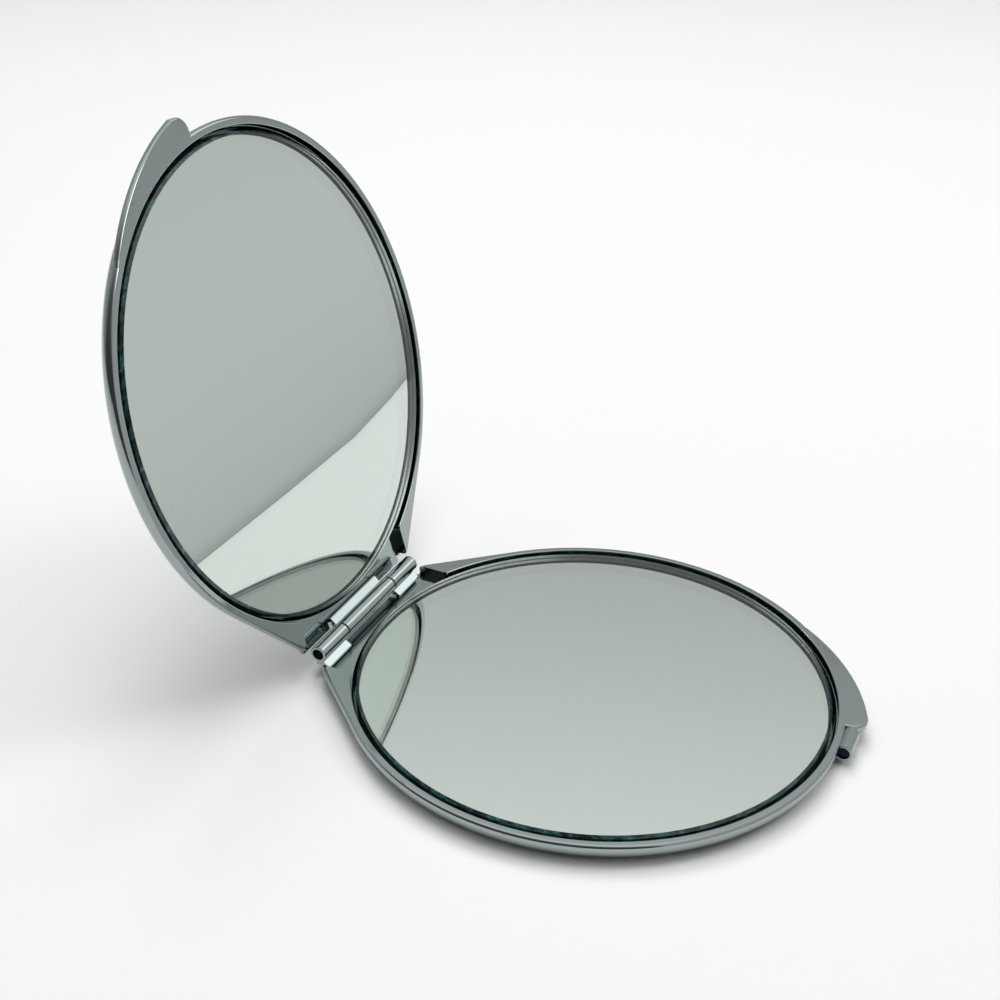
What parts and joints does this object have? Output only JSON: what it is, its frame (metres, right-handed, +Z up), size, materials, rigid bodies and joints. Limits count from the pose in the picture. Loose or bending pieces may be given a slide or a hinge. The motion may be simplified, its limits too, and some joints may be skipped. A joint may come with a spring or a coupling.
{
  "type": "compact mirror",
  "caption": "Round plated compact mirror standing open: a lower and an upper pan with bevelled glass mirrors, joined by a knuckle hinge and held shut by a magnetic catch.",
  "frame": {"origin": "centre of the lower half's flat outer face, on the table", "axes": "+Z up, +X from the hinge to the front where the catch is, +Y along the hinge towards its far end"},
  "size_m": [0.0905, 0.066, 0.0702],
  "materials": {
    "plated_steel": "polished silver-coloured plating",
    "hinge_metal": "plated, slightly duller than the shells",
    "pin_steel": "drawn wire",
    "catch_metal": "polished plating",
    "catch_magnet": "smooth dark coating",
    "mirror_glass": "polished, ground bevel at the edge",
    "silvering": "silvered",
    "adhesive": "double-sided mounting film"
  },
  "bodies": {
    "base": {"base_shell": "plated_steel", "base_near_knuckle": "hinge_metal", "base_far_knuckle": "hinge_metal", "hinge_pin": "pin_steel", "base_mirror_glass": "mirror_glass", "base_mirror_silvering": "silvering", "base_adhesive_disc": "adhesive", "catch_barrel": "catch_metal", "catch_magnet": "catch_magnet"},
    "lid": {"lid_shell": "plated_steel", "lid_knuckle": "hinge_metal", "lid_mirror_glass": "mirror_glass", "lid_mirror_silvering": "silvering", "lid_adhesive_disc": "adhesive"}
  },
  "joints": [
    {"name": "lid_hinge", "type": "hinge", "parent": "base", "child": "lid", "pos_m": [-0.03425, 0, 0.00388], "axis": [0, -1, 0], "range_deg": [-107, 74]}
  ]
}
